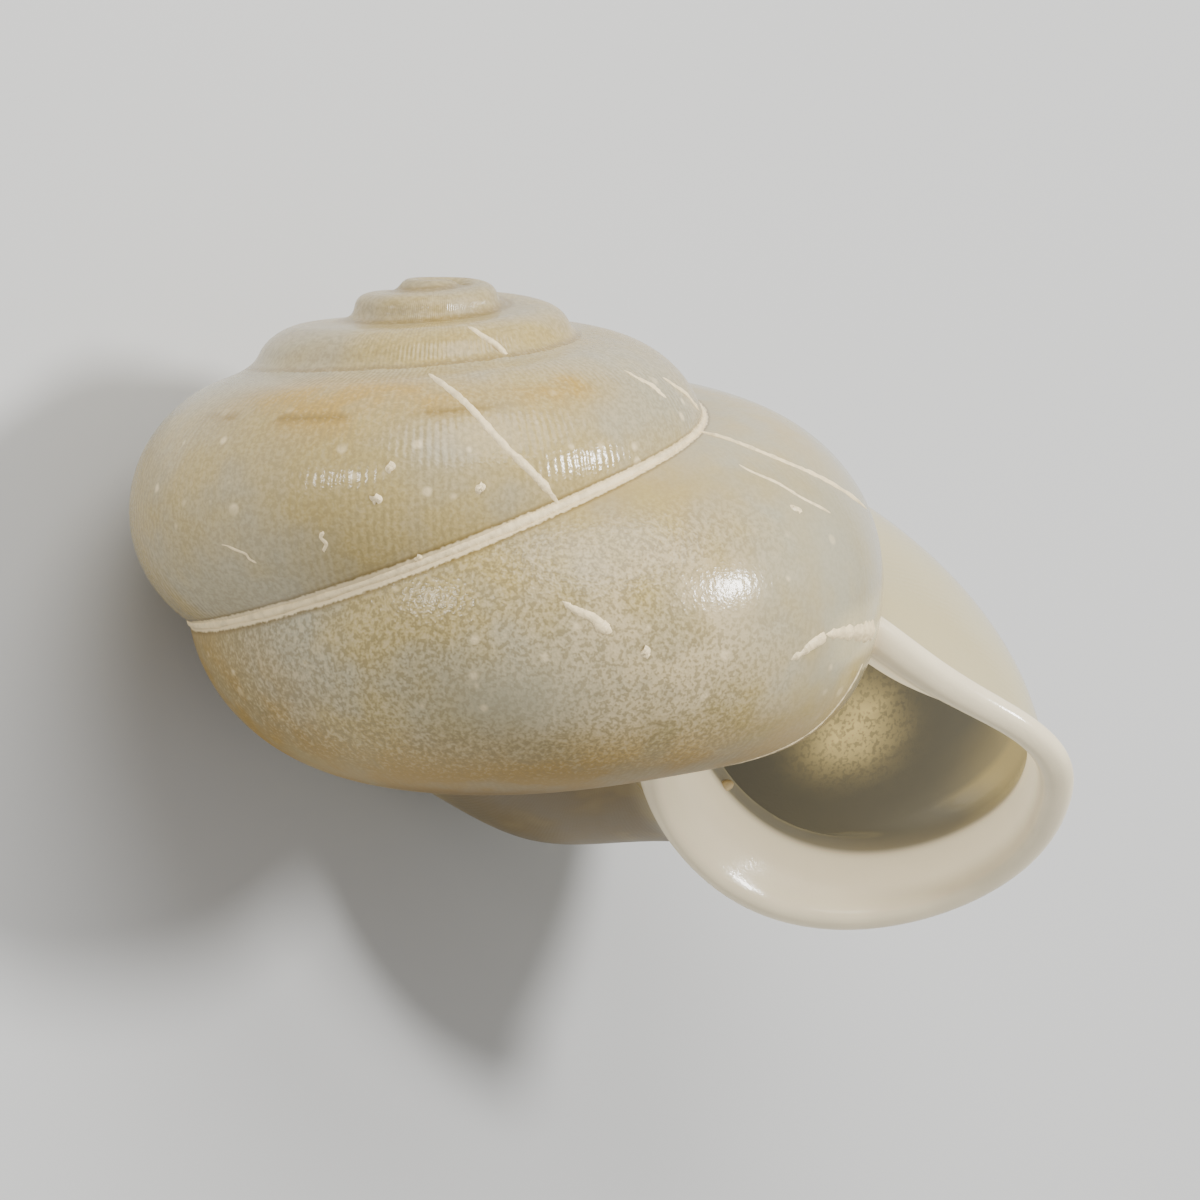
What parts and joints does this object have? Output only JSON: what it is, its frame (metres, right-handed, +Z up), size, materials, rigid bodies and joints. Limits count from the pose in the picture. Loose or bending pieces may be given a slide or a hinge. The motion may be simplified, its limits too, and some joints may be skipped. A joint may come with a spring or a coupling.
{
  "type": "land snail shell",
  "caption": "Small translucent land snail shell with a low spire, a last whorl that slips sideways and a thick rolled lip, lying on a small flat spot.",
  "frame": {"origin": "middle of the footprint of the shell's box, on the surface that the shell lies on", "axes": "+Z up from the surface, -X towards the tip of the spire, +Y towards the mouth's outer lip; the mouth looks up and towards -Y"},
  "size_m": [0.0068, 0.0094, 0.0075],
  "materials": {
    "shell": "glossy, slightly translucent, cream lip and suture"
  },
  "bodies": {
    "root": {"shell": "shell"}
  },
  "joints": []
}
